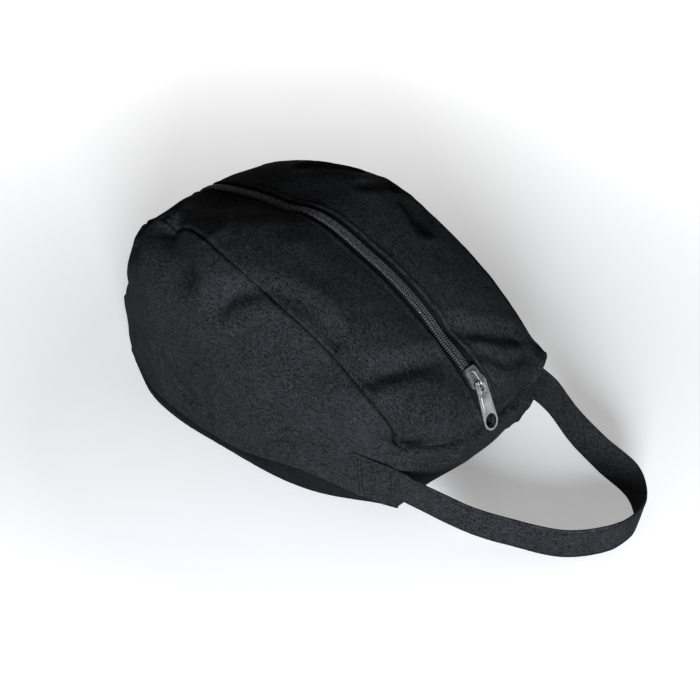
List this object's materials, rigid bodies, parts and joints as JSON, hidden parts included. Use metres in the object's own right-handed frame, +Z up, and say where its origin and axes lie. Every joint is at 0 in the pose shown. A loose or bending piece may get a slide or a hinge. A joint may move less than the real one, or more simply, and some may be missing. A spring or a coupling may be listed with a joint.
{
  "type": "motorcycle helmet bag",
  "caption": "Soft black woven cloth bag shaped like a helmet, with a coil zip over its whole top and a carry strap sewn to its front corners",
  "frame": {"origin": "middle of the flat base, on the plane the bag stands on", "axes": "+X to the front, where the zip's slider and the strap are; +Z up; -Y to the near side of the picture"},
  "size_m": [0.5704, 0.2802, 0.224],
  "materials": {
    "cloth": "matt plain weave",
    "base_cloth": "matt plain weave",
    "zip_tape": "matt knitted tape",
    "coil": "satin",
    "metal": "satin",
    "webbing": "matt plain weave"
  },
  "bodies": {
    "bag": {"crown_panel_near": "cloth", "crown_panel_far": "cloth", "side_panel_near": "cloth", "side_panel_far": "cloth", "front_panel": "cloth", "base_panel": "base_cloth", "zip_tape_near": "zip_tape", "zip_tape_far": "zip_tape", "zip_chain_near": "coil", "zip_chain_far": "coil", "zip_stop_near": "metal", "zip_stop_far": "metal", "zip_slider": "metal", "carry_strap": "webbing"},
    "pull": {"pull_tab": "metal"}
  },
  "joints": [
    {"name": "pull_swing", "type": "hinge", "parent": "bag", "child": "pull", "pos_m": [0.1945, 0, 0.11859], "axis": [0, -1, 0], "range_deg": [0, 170]}
  ]
}
